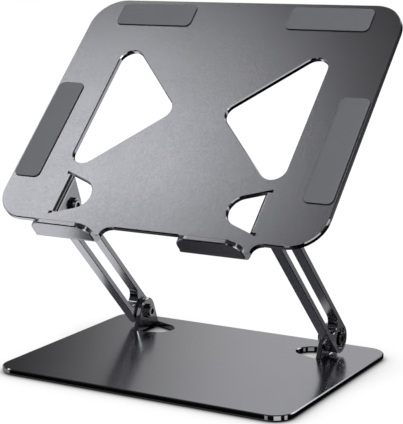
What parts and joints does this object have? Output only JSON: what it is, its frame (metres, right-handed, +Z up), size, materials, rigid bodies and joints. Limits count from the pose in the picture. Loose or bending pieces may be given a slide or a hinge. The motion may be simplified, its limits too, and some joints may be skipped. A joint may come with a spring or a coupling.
{
  "type": "laptop stand",
  "caption": "Folding desktop laptop stand: flat base sheet, slotted arms on friction hinges, and a tilting tray with triangular windows, grip pads and front hooks.",
  "frame": {"origin": "on the desk, under the centre of the base plate", "axes": "+Z up from the desk, +Y away from the user towards the rear of the base, +X to the user's right; the hinges turn about X"},
  "size_m": [0.26, 0.1811, 0.2619],
  "materials": {
    "sheet_metal": "dark grey anodised, satin, fine grain",
    "arm_metal": "dark grey anodised, satin",
    "pad_silicone": "matt grey silicone",
    "foot_rubber": "matt black rubber",
    "black_steel": "black oxide",
    "bright_steel": "zinc plated",
    "friction_washer": "black acetal"
  },
  "bodies": {
    "base": {"base_plate": "sheet_metal", "foot_front_left": "foot_rubber", "foot_front_right": "foot_rubber", "foot_rear_left": "foot_rubber", "foot_rear_right": "foot_rubber", "lower_hinge_screws": "black_steel", "lower_hinge_flat_washers": "bright_steel", "lower_hinge_disc_springs": "bright_steel", "lower_hinge_friction_washers": "friction_washer", "lower_hinge_nuts": "black_steel"},
    "left_arm": {"arm_left": "arm_metal"},
    "right_arm": {"arm_right": "arm_metal"},
    "tray": {"tray_plate": "sheet_metal", "pad_top_left": "pad_silicone", "pad_top_right": "pad_silicone", "pad_side_left": "pad_silicone", "pad_side_right": "pad_silicone", "hook_liner_left": "pad_silicone", "hook_liner_right": "pad_silicone", "upper_hinge_screws": "black_steel", "upper_hinge_flat_washers": "bright_steel", "upper_hinge_disc_springs": "bright_steel", "upper_hinge_friction_washers": "friction_washer", "upper_hinge_nuts": "black_steel"}
  },
  "joints": [
    {"name": "arm_left_hinge", "type": "hinge", "parent": "base", "child": "left_arm", "pos_m": [0, 0.059, 0.0178], "axis": [1, 0, 0], "range_deg": [-60, 33]},
    {"name": "arm_right_hinge", "type": "hinge", "parent": "base", "child": "right_arm", "pos_m": [0, 0.059, 0.0178], "axis": [1, 0, 0], "range_deg": [-60, 33]},
    {"name": "tray_hinge", "type": "hinge", "parent": "left_arm", "child": "tray", "pos_m": [0, -0.04282, 0.11962], "axis": [-1, 0, 0], "range_deg": [-30, 78]}
  ],
  "couplings": [
    {"joint": "arm_right_hinge", "follows": "arm_left_hinge", "ratio": 1}
  ]
}
